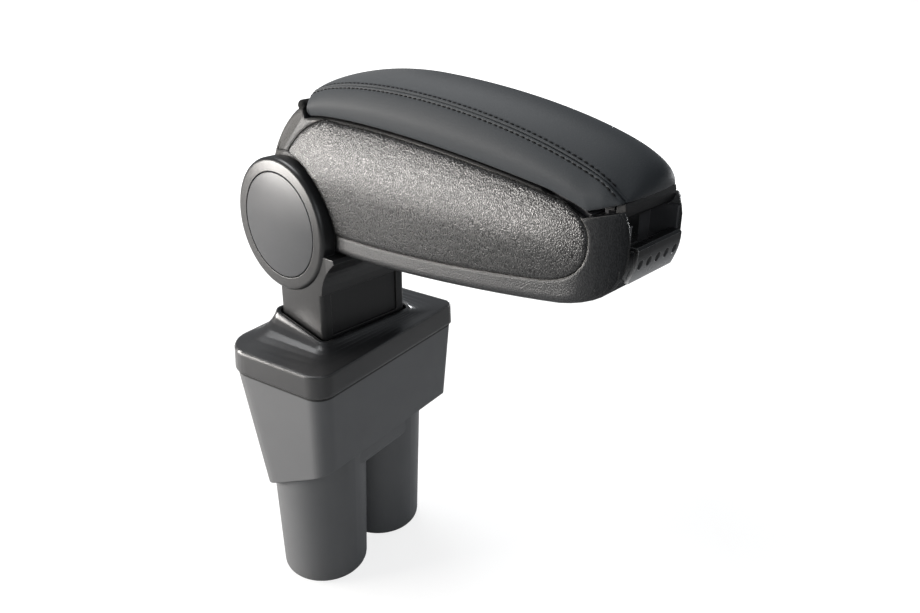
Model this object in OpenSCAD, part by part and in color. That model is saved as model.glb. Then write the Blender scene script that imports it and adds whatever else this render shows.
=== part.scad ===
// Centre armrest for a car: a plug for two cup wells, a post with a round yoke,
// and a padded storage arm that folds up about the yoke.
// Origin at the middle of the plug's bottom face, +X forward along the arm, +Z up.

/* [Plug] */
// Height of the cover seam over the bottom of the plug
plug_depth = 173; // [160:1:190]
// Angle between the cup wells' line and the square across the arm
base_yaw = 8.8; // [0:0.1:12]
// Length of the skirt at the seam, along the arm
skirt_length = 88; // [84:1:100]
// Width of the skirt at the seam, across the arm
skirt_width = 149; // [142:1:165]
// Depth of the skirt at its middle
skirt_depth = 81; // [70:1:90]
// Slope of the skirt's lower edge
skirt_slope = 26.5; // [15:0.5:30]
// Lean of the skirt's rear wall
skirt_rear_lean = 9.5; // [2:0.5:12]
// Lean of the other three walls
skirt_lean = 3; // [0:0.5:5]
// Distance between the centres of the two legs
leg_pitch = 66; // [62:1:74]
// Radius of a leg at its top
leg_top_r = 34; // [31:0.5:36]
// Radius of a leg at its bottom
leg_bottom_r = 31; // [28:0.5:33]
// Round at a leg's lower edge
leg_round = 7; // [3:0.5:10]
// Height of the arch where the two legs part
arch_height = 90; // [70:1:96]
// Wall of the plug
plug_wall = 3; // [2:0.2:4]

/* [Cover] */
// Amount by which the cover stands over the plug, each side
cover_overhang = 1.2; // [0.5:0.1:2]
// Height of the cover's rim
cover_rim = 15.6; // [10:0.2:20]
// Wall of the cover
cover_wall = 3; // [2:0.2:4]
// Height of the collar over the rim, at the post's middle
collar_rise = 11; // [8:0.5:16]
// Fall of the collar's edge from rear to front
collar_fall = 8; // [0:0.5:10]
// Gap between the collar and the post
collar_gap = 1.6; // [0.5:0.1:2.5]

/* [Post] */
// Height of the fold axis over the cover seam
hinge_rise = 94; // [90:1:100]
// Distance of the fold axis behind the plug's middle
hinge_back = 15; // [10:0.5:20]
// Length of the post along the arm
post_length = 45.4; // [40:0.2:50]
// Distance of the post's middle in front of the plug's middle
post_ahead = 1.4; // [-2:0.2:4]
// Width of the post
post_width = 74; // [72:0.5:76]
// Radius of the yoke's round cheeks
cheek_r = 45; // [44:0.5:48]
// Thickness of each cheek
cheek_thick = 10.2; // [9.5:0.1:12]
// Gap between the two cheeks
cheek_gap = 56.6; // [56.2:0.1:57]
// Round at a cheek's outer edge
cheek_round = 3; // [1:0.5:4]
// Reach of the post's flare under the arm
flare_reach = 14; // [8:0.5:16]
// Width of the access panel in the post's front
panel_width = 59; // [50:1:64]
// Height of the access panel
panel_height = 30; // [24:1:32]
// Depth at which the access panel lies in the post
panel_sink = 1.2; // [0.5:0.1:2]
// Thickness of the access panel
panel_thick = 2.4; // [2:0.1:3]

/* [Pivot] */
// Radius of the hub caps
cap_r = 36; // [34:0.5:38]
// Thickness of a hub cap
cap_thick = 3; // [2:0.2:4]
// Radius of the axle bolt
axle_r = 5; // [4:0.25:6]
// Wall of the steel sleeve that turns on the axle
sleeve_wall = 2; // [1.5:0.1:3]
// Radius of the arm's round knuckle
knuckle_r = 43; // [40:0.5:43.4]
// Outer radius of a friction ring
friction_r = 22; // [18:0.5:26]
// Thickness of a friction ring
friction_thick = 2; // [1.5:0.1:3]

/* [Arm] */
// Distance from the fold axis to the nose of the arm
arm_reach = 255; // [245:1:275]
// Width of the arm's shell
arm_width = 59; // [58:0.5:66]
// Height of the shell's rim over the fold axis, at its highest
rim_height = 77; // [74:0.5:82]
// Distance of the shell's underside below the fold axis, at its rear
belly_drop = 11.5; // [8:0.5:13]
// Wall of the shell
shell_wall = 3; // [2.4:0.2:3.6]
// Round along the shell's side edges
shell_round = 5; // [3:0.5:7]
// Depth of the recess for a side panel
side_recess = 1.6; // [1:0.1:2]
// Crown of a side panel over the shell's side
side_crown = 3.4; // [2:0.1:4]
// Side wall of the arm beside the opening in its front
mouth_side = 5.9; // [5.5:0.1:8]

/* [Bin] */
// Wall of the bin's liner
liner_wall = 2; // [1.4:0.1:2.6]
// Thickness of the mat on the bin's floor
mat_thick = 1.5; // [1:0.1:2.5]

/* [Lid] */
// Height of the cushion's crown over the lid's edge
crown_height = 29; // [24:0.5:34]
// Distance of the side seams from the middle
seam_half = 24; // [22:0.5:26]
// Thickness of the lid's hard pan
pan_thick = 3.5; // [2.5:0.1:5]
// Height of the lip bar at the lid's front
lip_height = 9.5; // [8:0.5:12]
// Radius of the lid's hinge pin
lid_pin_r = 1.5; // [1.2:0.1:1.8]
// Radius of the lid's hinge barrels
barrel_r = 3.6; // [3.2:0.1:3.8]

/* [Latch] */
// Height of the paddle
paddle_height = 19; // [16:0.5:20]
// Gap at each end of the paddle
paddle_gap = 1.3; // [0.8:0.1:3]
// Number of grip holes in the paddle
hole_count = 5; // [3:1:6]
// Radius of a grip hole
hole_r = 2.4; // [1.5:0.1:3]
// Distance between two grip holes
hole_pitch = 8; // [7:0.5:9]
// Radius of the latch pin
latch_pin_r = 1.5; // [1.2:0.1:1.8]

/* [Hidden] */

// Fits
press = 0.02;
running = 0.05;
seat_gap = 0.3;
swing_gap = 0.6;

// Heights and places that follow from the driving sizes
seam_z = plug_depth;
rim_z = seam_z + cover_rim;
axis_x = -hinge_back;
axis_z = seam_z + hinge_rise;
arm_half = arm_width / 2;
mouth_half = arm_half - mouth_side;
nose_x = axis_x + arm_reach;
belly_z = axis_z - belly_drop;
crest_z = axis_z + rim_height;
lid_gap = 1.8;
lid_axis = [axis_x + 17.5, crest_z + 2];
latch_axis = [nose_x - 10, axis_z + 33];
post_front = post_ahead + post_length / 2;
post_rear = post_ahead - post_length / 2;
flange_z = seam_z + 4;
flange_thick = 4;
flange_ledge = 9;
cheek_inner = cheek_gap / 2;
cheek_span = cheek_gap + 2 * cheek_thick;
cheek_outer = cheek_span / 2;
bolt_pocket_r = 12;
bolt_pocket_depth = 4.2;
washer_thick = 1;

plastic = [0.17, 0.17, 0.18];
satin = [0.26, 0.26, 0.27];
grain = [0.22, 0.21, 0.21];
leather = [0.13, 0.14, 0.15];
black = [0.07, 0.07, 0.08];
rubber = [0.1, 0.1, 0.1];
steel = [0.7, 0.7, 0.72];

// A cubic curve from a to d with handles b and c
function bez(a, b, c, d, n) = [
    for (i = [0:n])
        let (t = i / n, s = 1 - t)
            s * s * s * a + 3 * s * s * t * b + 3 * s * t * t * c + t * t * t * d
];

function arc(centre, r, from, to, n) = [
    for (i = [0:n])
        let (a = from + (to - from) * i / n)
            [centre.x + r * cos(a), centre.y + r * sin(a)]
];

function tail(list) = [for (i = [1:len(list) - 1]) list[i]];
function backward(list) = [for (i = [len(list) - 1:-1:0]) list[i]];
function unit(v) = v / norm(v);

// Moves each point of an anticlockwise outline inwards by d
function inset(pts, d) = [
    for (i = [0:len(pts) - 1])
        let (
            n = len(pts),
            along = unit(pts[(i + 1) % n] - pts[(i + n - 1) % n])
        )
            pts[i] + d * [-along.y, along.x]
];

// An anticlockwise rectangle with its own radius at each corner, from the rear right
function round_box(x0, x1, y0, y1, radii, n = 10) = concat(
    arc([x0 + radii[0], y0 + radii[0]], radii[0], 180, 270, n),
    arc([x1 - radii[1], y0 + radii[1]], radii[1], 270, 360, n),
    arc([x1 - radii[2], y1 - radii[2]], radii[2], 0, 90, n),
    arc([x0 + radii[3], y1 - radii[3]], radii[3], 90, 180, n)
);

function turned(p, angle) = [
    p.x * cos(angle) - p.y * sin(angle), p.x * sin(angle) + p.y * cos(angle)
];

// Skins a stack of rings that have the same number of points
module skin(rings) {
    n = len(rings[0]);
    top = len(rings) - 1;
    polyhedron(
        points = [for (ring = rings) each ring],
        faces = concat(
            [[for (j = [0:n - 1]) j]],
            [
                for (i = [0:top - 1])
                    for (j = [0:n - 1])
                        [i * n + j, (i + 1) * n + j, (i + 1) * n + (j + 1) % n,
                            i * n + (j + 1) % n]
            ],
            [[for (j = [n - 1:-1:0]) top * n + j]]
        )
    );
}

// A side outline in X and Z, swept across the arm between y0 and y1
module across(pts, y0, y1) {
    translate([0, y1, 0])
        rotate([90, 0, 0])
            linear_extrude(y1 - y0)
                polygon(pts);
}

// A cylinder along Y between y0 and y1, centred on a point in X and Z
module rod(centre, r, y0, y1, n = 64) {
    translate([centre.x, y1, centre.y])
        rotate([90, 0, 0])
            cylinder(r = r, h = y1 - y0, $fn = n);
}

// A disc along Y between y0 and y1, cut as a regular prism
module drum(centre, r, y0, y1, n = 72) {
    across([for (i = [0:n - 1]) centre + r * [cos(360 * i / n), sin(360 * i / n)]], y0, y1);
}

module both_sides() {
    children();
    mirror([0, 1, 0])
        children();
}

module base_frame() {
    rotate([0, 0, base_yaw])
        children();
}

// The skirt: a tapered box whose lower edge slopes up towards the front

skirt_floor_z = seam_z - skirt_depth;

function skirt_outline(z, d) =
    let (
        down = seam_z - z,
        rear = -skirt_length / 2 + d + down * tan(skirt_rear_lean),
        front = skirt_length / 2 - d - down * tan(skirt_lean),
        half = skirt_width / 2 - d - down * tan(skirt_lean)
    )
        round_box(rear, front, -half, half, [22 - d, 12 - d, 7 - d, 20 - d]);

module above_slope(lift) {
    intersection() {
        children();
        translate([0, 0, skirt_floor_z + lift])
            rotate([0, -skirt_slope, 0])
                translate([-skirt_length, -skirt_width, 0])
                    cube([2 * skirt_length, 2 * skirt_width, 2 * skirt_depth]);
    }
}

module skirt(d, top, lift) {
    low = skirt_floor_z - skirt_length / 2 * tan(skirt_slope);
    above_slope(lift)
        skin([
            for (z = [low, top])
                [for (p = skirt_outline(z, d)) [p.x, p.y, z]]
        ]);
}

module leg(side, d, top, floor_z) {
    r0 = leg_bottom_r - d;
    r1 = leg_top_r - d;
    edge = leg_round - d / 2;
    translate([0, side * leg_pitch / 2, 0])
        rotate_extrude($fn = 72)
            polygon(concat(
                [[0, floor_z]],
                arc([r0 - edge, floor_z + edge], edge, 270, 360, 6),
                [[r1, top], [0, top]]
            ));
}

// The two legs run together above the arch
module waist(d, top) {
    half = leg_top_r - d - 1;
    edge = leg_round;
    translate([0, leg_pitch / 2, 0])
        rotate([90, 0, 0])
            linear_extrude(leg_pitch)
                polygon(concat(
                    arc([-half + edge, arch_height + d + edge], edge, 180, 270, 5),
                    arc([half - edge, arch_height + d + edge], edge, 270, 360, 5),
                    [[half, top], [-half, top]]
                ));
}

module plug_form(d, top) {
    skirt(d, top, d / cos(skirt_slope));
    waist(d, top - 20);
    for (side = [-1, 1])
        leg(side, d, skirt_floor_z + 24, d);
}

module plug_shell() {
    color(plastic)
        base_frame()
            difference() {
                plug_form(0, seam_z);
                plug_form(plug_wall, seam_z + 1);
            }
}

// The cover: a rim, a gently dished top and a collar that flares up to the post

cover_half_x = skirt_length / 2 + cover_overhang;
cover_half_y = skirt_width / 2 + cover_overhang;

function cover_outline(d) = [
    for (p = round_box(-cover_half_x + d, cover_half_x - d, -cover_half_y + d,
            cover_half_y - d, [23 - d, 13 - d, 8 - d, 21 - d]))
        turned(p, base_yaw)
];

function collar_outline(d) = round_box(post_rear - collar_gap - d,
    post_front + collar_gap + d, -post_width / 2 - collar_gap - d,
    post_width / 2 + collar_gap + d, [4 + d, 4 + d, 4 + d, 4 + d]);

function collar_top(x) =
    rim_z + collar_rise - collar_fall * (x - post_ahead) / post_length;

// Each stop is the share of the way in to the collar, and of the way up it
flare_stops = [
    [0.02, -0.1], [0.05, 0], [0.25, 0.06], [0.45, 0.13], [0.62, 0.24], [0.76, 0.39],
    [0.87, 0.58], [0.95, 0.79], [1, 1]
];

function cover_rings(d, drop) =
    let (
        outer = cover_outline(d),
        inner = collar_outline(cover_wall - d),
        n = len(outer) - 1
    )
        concat(
            [[for (p = outer) [p.x, p.y, seam_z - drop]]],
            [
                for (stop = flare_stops)
                    [
                        for (i = [0:n])
                            let (
                                p = outer[i] + stop.x * (inner[i] - outer[i]),
                                top = collar_top(p.x) + (d > 0 ? 1 : 0)
                            )
                                [p.x, p.y, rim_z - drop + stop.y * (top + drop - rim_z)]
                    ]
            ]
        );

// The lip that locates the cover inside the plug, with the plug's own taper
module cover_lip(d, low, high) {
    skin([
        for (z = [low, high])
            [for (p = skirt_outline(z, d)) let (q = turned(p, base_yaw)) [q.x, q.y, z]]
    ]);
}

module screw_bosses(r, z0, z1) {
    for (x = [post_rear - flange_ledge / 2, post_front + flange_ledge / 2])
        for (y = [-post_width / 4, post_width / 4])
            translate([x, y, z0])
                cylinder(r = r, h = z1 - z0, $fn = 32);
}

screw_r = 1.6;
lip_depth = 6;

module base_cover() {
    color(satin)
        difference() {
            union() {
                difference() {
                    skin(cover_rings(0, 0));
                    skin(cover_rings(cover_wall, cover_wall));
                }
                difference() {
                    union() {
                        cover_lip(plug_wall + seat_gap, seam_z - lip_depth, seam_z + 2);
                        translate([0, 0, seam_z])
                            linear_extrude(cover_wall)
                                polygon(cover_outline(1));
                    }
                    cover_lip(plug_wall + seat_gap + 2, seam_z - lip_depth - 1, rim_z - 6);
                }
                intersection() {
                    skin(cover_rings(0, 0));
                    screw_bosses(4, flange_z + flange_thick, rim_z + collar_rise);
                }
            }
            translate([0, 0, seam_z])
                linear_extrude(4 * cover_rim)
                    polygon(collar_outline(0));
            screw_bosses(screw_r, seam_z, rim_z - 4);
        }
}

// The post: a column that opens into a yoke with two round cheeks

module column(z0, z1, d) {
    translate([0, 0, z0])
        linear_extrude(z1 - z0)
            polygon(round_box(post_rear + d, post_front - d, -post_width / 2 + d,
                post_width / 2 - d, [3, 3, 3, 3], 4));
}

// One cheek with its rounded outer edge, on the left side
module cheek() {
    translate([axis_x, 0, axis_z])
        rotate([-90, 0, 0])
            rotate_extrude($fn = 96)
                polygon(concat(
                    [[0, cheek_inner], [cheek_r, cheek_inner]],
                    arc([cheek_r - cheek_round, cheek_outer - cheek_round], cheek_round,
                        0, 90, 6),
                    [[0, cheek_outer]]
                ));
}

flare_top = belly_z - seat_gap;
flare_low = flare_top - 2 * flare_reach;

// The flare that carries the arm's underside, in X and Z
module flare() {
    front = post_front + flare_reach;
    outline = concat(
        [[post_front, flare_low]],
        tail(bez([post_front, flare_low], [post_front + 1, flare_low + flare_reach],
            [front - 4, flare_top - 6], [front, flare_top - 2.5], 8)),
        [[front - 1, flare_top], [axis_x, flare_top], [axis_x, flare_low]]
    );
    across(outline, -post_width / 2, post_width / 2);
}

module panel_pocket(d, depth) {
    z1 = seam_z + 53.5;
    translate([post_front - depth, -panel_width / 2 + d, z1 - panel_height + d])
        cube([depth + 1, panel_width - 2 * d, panel_height - 2 * d]);
}

module post() {
    color(satin)
        difference() {
            union() {
                column(flange_z, axis_z - 12, 0);
                translate([0, 0, flange_z])
                    linear_extrude(flange_thick)
                        polygon(round_box(post_rear - flange_ledge,
                            post_front + flange_ledge, -post_width / 2, post_width / 2,
                            [3, 3, 3, 3], 4));
                both_sides()
                    cheek();
                flare();
            }
            rod([axis_x, axis_z], knuckle_r + swing_gap, -cheek_inner, cheek_inner, 96);
            translate([axis_x, -cheek_inner, belly_z - seat_gap])
                cube([arm_reach, cheek_gap, 2 * cheek_r]);
            rod([axis_x, axis_z], axle_r + running, -cheek_span, cheek_span);
            both_sides() {
                rod([axis_x, axis_z], cap_r + press, cheek_outer - cap_thick, cheek_span, 96);
                rod([axis_x, axis_z], bolt_pocket_r,
                    cheek_outer - cap_thick - bolt_pocket_depth, cheek_span);
            }
            panel_pocket(0, panel_sink + panel_thick);
            panel_pocket(4, post_length - 6);
            translate([0, 0, flange_z - 1])
                linear_extrude(22)
                    polygon(round_box(post_rear + 5, post_front - 8, -post_width / 2 + 8,
                        post_width / 2 - 8, [2, 2, 2, 2], 4));
            screw_bosses(screw_r + 0.2, seam_z, rim_z);
        }
}

module post_screws() {
    color(steel) {
        screw_bosses(screw_r - 0.1, flange_z, rim_z - 5);
        screw_bosses(3, flange_z - 2, flange_z);
    }
}

module post_panel() {
    color(plastic)
        intersection() {
            panel_pocket(0.2, panel_sink + panel_thick);
            translate([post_front - panel_sink - panel_thick, -panel_width, seam_z])
                cube([panel_thick, 2 * panel_width, 2 * cheek_r]);
        }
}

// The pivot: caps, bolt, nut, washers, the arm's sleeve and the friction rings

module hub_cap() {
    edge = 0.6;
    translate([axis_x, 0, axis_z])
        rotate([-90, 0, 0])
            rotate_extrude($fn = 96)
                polygon([
                    [0, cheek_outer - cap_thick], [cap_r - 0.4, cheek_outer - cap_thick],
                    [cap_r - 0.4, cheek_outer - edge], [cap_r - 0.4 - edge, cheek_outer],
                    [0, cheek_outer]
                ]);
}

module hub_cap_left() {
    color(satin)
        hub_cap();
}

module hub_cap_right() {
    color(satin)
        mirror([0, 1, 0])
            hub_cap();
}

pocket_floor = cheek_outer - cap_thick - bolt_pocket_depth;

module axle_bolt() {
    head = bolt_pocket_depth - washer_thick - 0.4;
    color(steel) {
        rod([axis_x, axis_z], axle_r, -pocket_floor - washer_thick - head,
            pocket_floor + bolt_pocket_depth - 0.2);
        rod([axis_x, axis_z], 1.7 * axle_r, -pocket_floor - washer_thick - head,
            -pocket_floor - washer_thick, 6);
    }
}

module axle_nut() {
    color(steel)
        difference() {
            rod([axis_x, axis_z], 1.7 * axle_r, pocket_floor + washer_thick,
                pocket_floor + bolt_pocket_depth - 0.4, 6);
            rod([axis_x, axis_z], axle_r + press, pocket_floor, cheek_span);
        }
}

module axle_washers() {
    color(steel)
        both_sides()
            difference() {
                rod([axis_x, axis_z], 2 * axle_r, pocket_floor, pocket_floor + washer_thick);
                rod([axis_x, axis_z], axle_r + running, 0, cheek_span);
            }
}

knuckle_half = cheek_inner - 0.5;

module axle_sleeve() {
    color(steel)
        difference() {
            rod([axis_x, axis_z], axle_r + sleeve_wall, -knuckle_half, knuckle_half);
            rod([axis_x, axis_z], axle_r + running, -cheek_span, cheek_span);
        }
}

module friction_rings() {
    inner = axle_r + sleeve_wall + 0.4;
    y1 = cheek_inner - 0.2;
    color(rubber)
        both_sides()
            difference() {
                rod([axis_x, axis_z], friction_r, y1 - friction_thick, y1);
                rod([axis_x, axis_z], inner, 0, cheek_span);
            }
}

// The lid's lower edge from rear to front, in X and Z, and the curves that follow it

lid_rear_x = axis_x + 23;
dip = [nose_x - 23, crest_z - 17.4];
lid_front = [nose_x - 3.4, crest_z - 10.6];
bend = [nose_x - 50, crest_z - 10.2];

edge_top = bez([lid_rear_x, crest_z - 3.2], [lid_rear_x + 22, crest_z + 3.3],
    [bend.x - 80, crest_z + 0.3], bend, 18);
edge_dip = bez(bend, bend + [10, -1.4], dip + [-7, 3.2], dip, 6);

edge_line = concat(edge_top, tail(edge_dip), [lid_front]);

function lower(pts, d) = [for (p = pts) [p.x, p.y - d]];

// The shell's side outline, anticlockwise from the rear of the underside
belly = bez([axis_x + 41, belly_z + 1], [axis_x + 75, belly_z - 1],
    [axis_x + 165, belly_z + 8.5], [nose_x - 36, belly_z + 18.5], 14);
nose = bez([nose_x - 36, belly_z + 18.5], [nose_x - 12, belly_z + 24.5],
    [nose_x + 0.4, belly_z + 35], [nose_x, belly_z + 57], 10);
brow = bez([nose_x, belly_z + 57], [nose_x - 0.2, belly_z + 65],
    [nose_x - 2, belly_z + 71], [nose_x - 5, crest_z - 15], 4);
back_top = [lid_rear_x - 2.5, lid_axis.y + 1];
back = bez(back_top, back_top + [-14, -4], [axis_x - 11, axis_z + 55],
    [axis_x - 16, axis_z + 38], 10);

shell_outline = concat(
    belly, tail(nose), tail(brow), [bend + [0, 1], [axis_x + 70, crest_z + 2]], back
);

// What lies over the shell's rim, with the dip at the front and the lid's rear end
over_rim = concat(
    [[lid_rear_x - 1.6, crest_z + 3 * lid_gap], [lid_rear_x - 1.6, crest_z + 1]],
    lower(edge_top, lid_gap),
    [[dip.x - 1, dip.y - 4], [nose_x - 5, crest_z - 15.2], [nose_x + 9, crest_z - 12],
        [nose_x + 9, crest_z + 3 * lid_gap]]
);

// Rounds that run along both sides: how far in from the side, and the inset there
round_stops = [
    for (a = [90, 66, 44, 22, 0])
        [shell_round * (1 - sin(a)), shell_round * (1 - cos(a))]
];

// How far forward the shell reaches at each distance from the middle
front_corner = bez([nose_x + 0.5, mouth_half - 0.4], [nose_x - 2, arm_half - 1.5],
    [nose_x - 12, arm_half], [nose_x - 24, arm_half], 10);

function front_limit(y) = lookup(abs(y), [for (p = front_corner) [p.y, p.x]]);

module pillow(outline, half) {
    stops = concat(
        [for (s = round_stops) [half - s.x, s.y]],
        [[mouth_half - 0.4, 0], [-mouth_half + 0.4, 0]],
        [for (s = backward(round_stops)) [-half + s.x, s.y]]
    );
    skin([
        for (s = stops)
            [for (p = inset(outline, s.y)) [min(p.x, front_limit(s.x)), s.x, p.y]]
    ]);
}

// The side panel's outline: a long D whose rear end runs in behind the cheek
panel_outline = concat(
    bez([axis_x + 3, axis_z + 3], [axis_x + 75, axis_z - 1],
        [nose_x - 100, axis_z + 9], [nose_x - 46, axis_z + 18.2], 14),
    tail(bez([nose_x - 46, axis_z + 18.2], [nose_x - 27, axis_z + 22.5],
        [nose_x - 18.5, axis_z + 32], [nose_x - 20, axis_z + 46], 8)),
    tail(bez([nose_x - 20, axis_z + 46], [nose_x - 20.5, axis_z + 53],
        [nose_x - 26, crest_z - 19], [nose_x - 35, crest_z - 15.7], 5)),
    [
        for (p = backward(lower(edge_top, lid_gap + 1)))
            if (p.x > axis_x + 50)
                p
    ],
    bez([axis_x + 44, crest_z - 2.2], [axis_x + 25, crest_z - 6], [axis_x + 7, axis_z + 58],
        [axis_x - 7, axis_z + 33], 6)
);

module barrel(y0, y1) {
    rod(lid_axis, barrel_r, y0, y1, 32);
}

ear_inner = 5.4;
ear_outer = 16.8;
ear_end = arm_half - 5;

// The outer barrel on the left side, with a rounded end
module end_barrel() {
    end = arm_half - 1.6;
    edge = 2.4;
    translate([lid_axis.x, 0, lid_axis.y])
        rotate([-90, 0, 0])
            rotate_extrude($fn = 32)
                polygon(concat(
                    [[0, ear_outer], [barrel_r, ear_outer]],
                    arc([barrel_r - edge, end - edge], edge, 0, 90, 5),
                    [[0, end]]
                ));
}

bin_x0 = axis_x + knuckle_r + 16;
bin_x1 = nose_x - 21.5;
mouth_x0 = bin_x1 + 2.5;
bin_half = arm_half - side_recess - shell_wall;

// The hollow of the bin, whose floor follows the shell's underside
function bin_outline(wall, ends, top) =
    let (
        floor_line = [
            for (p = concat(belly, tail(nose)))
                if (p.x > bin_x0 + ends && p.x < bin_x1 - ends)
                    [p.x, p.y + wall]
        ],
        last = floor_line[len(floor_line) - 1]
    )
        concat(
            [[bin_x0 + ends, floor_line[0].y]], floor_line,
            [[bin_x1 - ends, last.y + 2], [bin_x1 - ends, top], [bin_x0 + ends, top]]
        );

// The mouth's floor at its rear, and where it drops away at the front
mouth_sill = belly_z + 29.5;
mouth_lip = mouth_sill + 5;
sill_x = nose_x - 11;
mouth_outline = [
    [mouth_x0, mouth_sill], [sill_x, mouth_lip], [sill_x, belly_z], [nose_x + 20, belly_z],
    [nose_x + 20, crest_z + 20], [mouth_x0, crest_z + 20]
];

// The hollow behind the bin and round the pivot's boss, with its ribs
hollow_half = min(bin_half - 1, knuckle_half - shell_wall);

module rear_hollow() {
    difference() {
        union() {
            drum([axis_x, axis_z], knuckle_r - shell_wall, -hollow_half, hollow_half, 60);
            across([
                [bin_x0 + 1, belly_z + 5], [bin_x0 + 1, crest_z - 12],
                [lid_rear_x + 8, crest_z - 12], [axis_x + 10, axis_z + 54],
                [axis_x - 4, axis_z + 38], [axis_x, axis_z], [axis_x + 38, belly_z + 5]
            ], -hollow_half, hollow_half);
        }
        drum([axis_x, axis_z], friction_r + 4, -cheek_span, cheek_span, 48);
        for (a = [-20, 28, 78, 140, 200, 260])
            translate([axis_x, -hollow_half - 1, axis_z])
                rotate([0, -a, 0])
                    cube([2 * knuckle_r, 2 * hollow_half + 2, 2.4]);
    }
}

module side_panel_recess() {
    both_sides()
        across(inset(panel_outline, -0.2), arm_half - side_recess, cheek_span);
}

module lid_hinge_room() {
    both_sides() {
        rod(lid_axis, barrel_r + 0.5, ear_inner, ear_outer, 32);
        translate([lid_axis.x, ear_inner, lid_axis.y - barrel_r - 0.5])
            cube([2 * barrel_r, ear_outer - ear_inner, 4 * barrel_r]);
    }
}

liner_screw_r = 1.5;

module liner_screw_places() {
    for (x = [bin_x0 + 25, bin_x1 - 50])
        translate([x, 0, lookup(x, belly)])
            children();
}

module arm_shell() {
    color(grain)
        difference() {
            union() {
                difference() {
                    pillow(shell_outline, arm_half);
                    across(over_rim, -arm_width, arm_width);
                }
                drum([axis_x, axis_z], knuckle_r, -knuckle_half - 0.8, knuckle_half + 0.8, 96);
                barrel(-ear_inner, ear_inner);
                both_sides()
                    end_barrel();
            }
            both_sides()
                drum([axis_x, axis_z], cheek_r + 3.5, knuckle_half, cheek_span);
            side_panel_recess();
            rear_hollow();
            across(bin_outline(shell_wall, 0, crest_z + 20), -bin_half, bin_half);
            across(mouth_outline, -mouth_half, mouth_half);
            rod([axis_x, axis_z], axle_r + sleeve_wall + press, -cheek_span, cheek_span);
            both_sides()
                rod([axis_x, axis_z], friction_r + 0.2, cheek_inner - 0.2 - friction_thick,
                    cheek_span);
            lid_hinge_room();
            rod(lid_axis, lid_pin_r + running, -ear_end, arm_width, 32);
            liner_screw_places()
                cylinder(r = liner_screw_r, h = 3 * shell_wall, $fn = 24, center = true);
        }
}

// Each stop is the height of a ring over the recess's floor, and its inset
panel_stops = [
    [0, 0.3], [side_recess - 0.2, 0.3], [side_recess + 0.12 * side_crown, 1],
    [side_recess + 0.25 * side_crown, 2.4]
];

// The rings of the crown shrink from the last stop towards this line
panel_spine = [[axis_x, axis_z + 38], [nose_x - 20, axis_z + 43]];
panel_mid_x = nose_x - 130;

function crown_ring(k) =
    let (depth = side_recess + side_crown * (1 - 0.75 * k * k))
        [
            for (p = inset(panel_outline, panel_stops[3].y))
                let (
                    x = panel_mid_x + (p.x - panel_mid_x) * (0.65 + 0.35 * k),
                    mid = lookup(x, panel_spine)
                )
                    [x, side_recess - arm_half - depth, mid + (p.y - lookup(p.x, panel_spine)) * k]
        ];

module side_panel() {
    difference() {
        skin(concat(
            [
                for (s = panel_stops)
                    [
                        for (p = inset(panel_outline, s.y))
                            [p.x, -(arm_half - side_recess + s.x), p.y]
                    ]
            ],
            [for (k = [0.92, 0.84, 0.74, 0.62, 0.48, 0.32, 0.16, 0.04]) crown_ring(k)]
        ));
        drum([axis_x, axis_z], cheek_r + 3, -2 * cheek_span, 0);
    }
}

module side_panel_right() {
    color(grain)
        side_panel();
}

module side_panel_left() {
    color(grain)
        mirror([0, 1, 0])
            side_panel();
}

// The bin's liner, its mat and its screws

function rim_cut(d) = concat(
    lower(concat(edge_top, tail(edge_dip)), lid_gap + d),
    [[nose_x, dip.y - lid_gap - d], [nose_x, crest_z + 40], [lid_rear_x, crest_z + 40]]
);

module bin_liner() {
    color(black)
        difference() {
            across(bin_outline(shell_wall, 0.4, crest_z + 10), -bin_half + 0.3,
                bin_half - 0.3);
            across(bin_outline(shell_wall + liner_wall, 0.4 + liner_wall, crest_z + 20),
                -bin_half + 0.3 + liner_wall, bin_half - 0.3 - liner_wall);
            across(rim_cut(0.6), -arm_width, arm_width);
            liner_screw_places()
                cylinder(r = liner_screw_r + 0.2, h = 6 * shell_wall, $fn = 24);
            liner_screw_places()
                translate([0, 0, shell_wall + liner_wall - 1.7])
                    cylinder(r1 = 1.6, r2 = 4.2, h = 2.1, $fn = 24);
        }
}

module bin_mat() {
    base = shell_wall + liner_wall;
    color(rubber)
        difference() {
            across(bin_outline(base, liner_wall + 2, crest_z - 40), -bin_half + liner_wall + 1,
                bin_half - liner_wall - 1);
            across(bin_outline(base + mat_thick, liner_wall + 1, crest_z), -arm_width,
                arm_width);
        }
}

module liner_screws() {
    color(steel)
        liner_screw_places() {
            translate([0, 0, 0.6])
                cylinder(r = liner_screw_r - 0.05, h = shell_wall + liner_wall - 2, $fn = 24);
            translate([0, 0, shell_wall + liner_wall - 1.7])
                cylinder(r1 = 1.45, r2 = 2.8, h = 1.2, $fn = 24);
        }
}

// The black insert in the arm's mouth, which carries the latch

bezel_wall = 2.2;
bezel_half = mouth_half - 0.1;
bezel_top = dip.y - 4.2;
bezel_rear = mouth_x0 + 0.1;
pedestal_half = 3;
pedestal_y = arm_half - 14.5;
paddle_half = bezel_half - bezel_wall - paddle_gap;
stop_z = crest_z - 13;

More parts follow.
